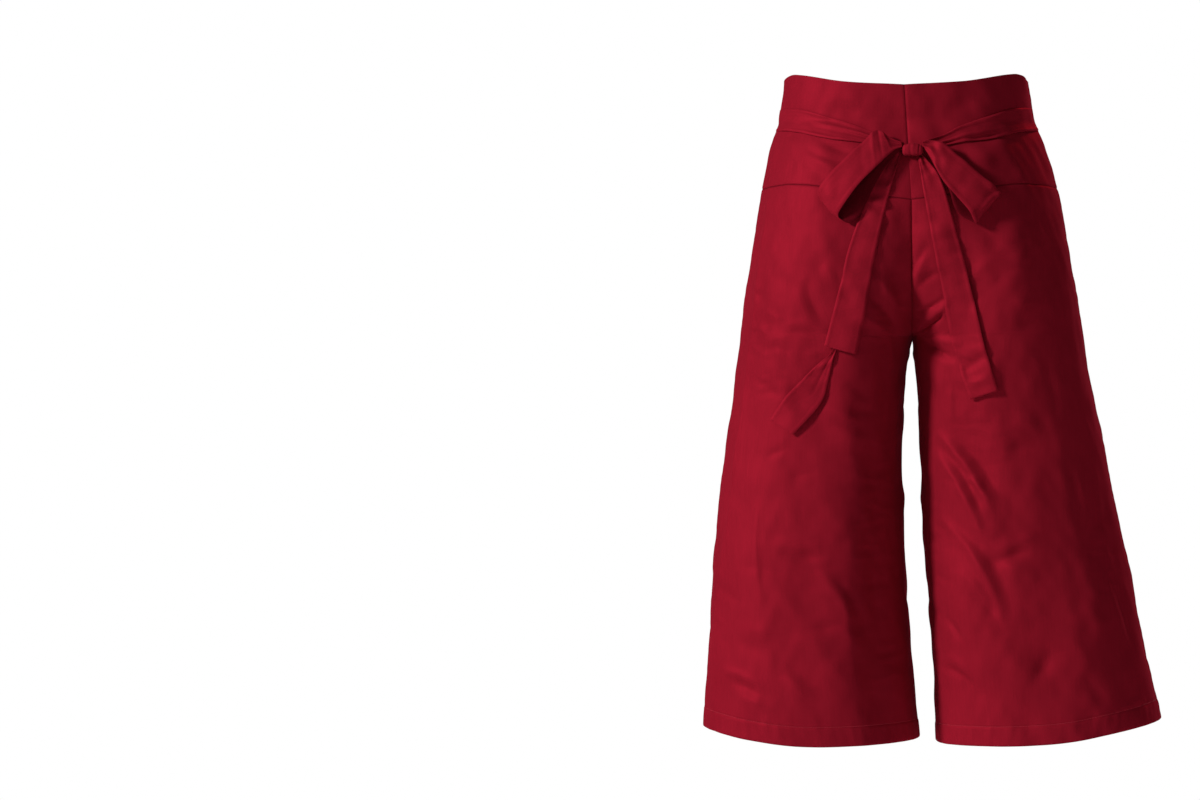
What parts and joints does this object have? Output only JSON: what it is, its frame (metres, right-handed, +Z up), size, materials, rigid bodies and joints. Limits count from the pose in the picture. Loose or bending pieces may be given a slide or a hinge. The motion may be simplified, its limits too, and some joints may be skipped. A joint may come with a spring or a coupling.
{
  "type": "fisherman pants",
  "caption": "Wide cropped trousers with a deep yoke, a waist tie knotted in a bow at the back and open legs, held at the waist by the wearer.",
  "frame": {"origin": "middle of the waist, level with the lower edge of the tie at the side seams, where the wearer holds the garment up", "axes": "+X to the wearer's right, +Y to the front, +Z up; the bow is at the back, on the -Y side"},
  "size_m": [0.5219, 0.2433, 0.7592],
  "materials": {
    "cloth": "crimson satin-weave cotton with a soft low sheen",
    "tie": "the same crimson satin-weave cotton, folded double"
  },
  "bodies": {
    "root": {"yoke_back_left": "cloth", "yoke_back_right": "cloth", "yoke_front_left": "cloth", "yoke_front_right": "cloth", "leg_back_left": "cloth", "leg_back_right": "cloth", "leg_front_inner_left": "cloth", "leg_front_inner_right": "cloth", "leg_front_outer_left": "cloth", "leg_front_outer_right": "cloth", "tie_band_left": "tie", "tie_band_right": "tie", "knot": "tie", "loop_left": "tie", "loop_right": "tie", "tail_left": "tie", "tail_left_end": "tie", "tail_right": "tie"}
  },
  "joints": []
}
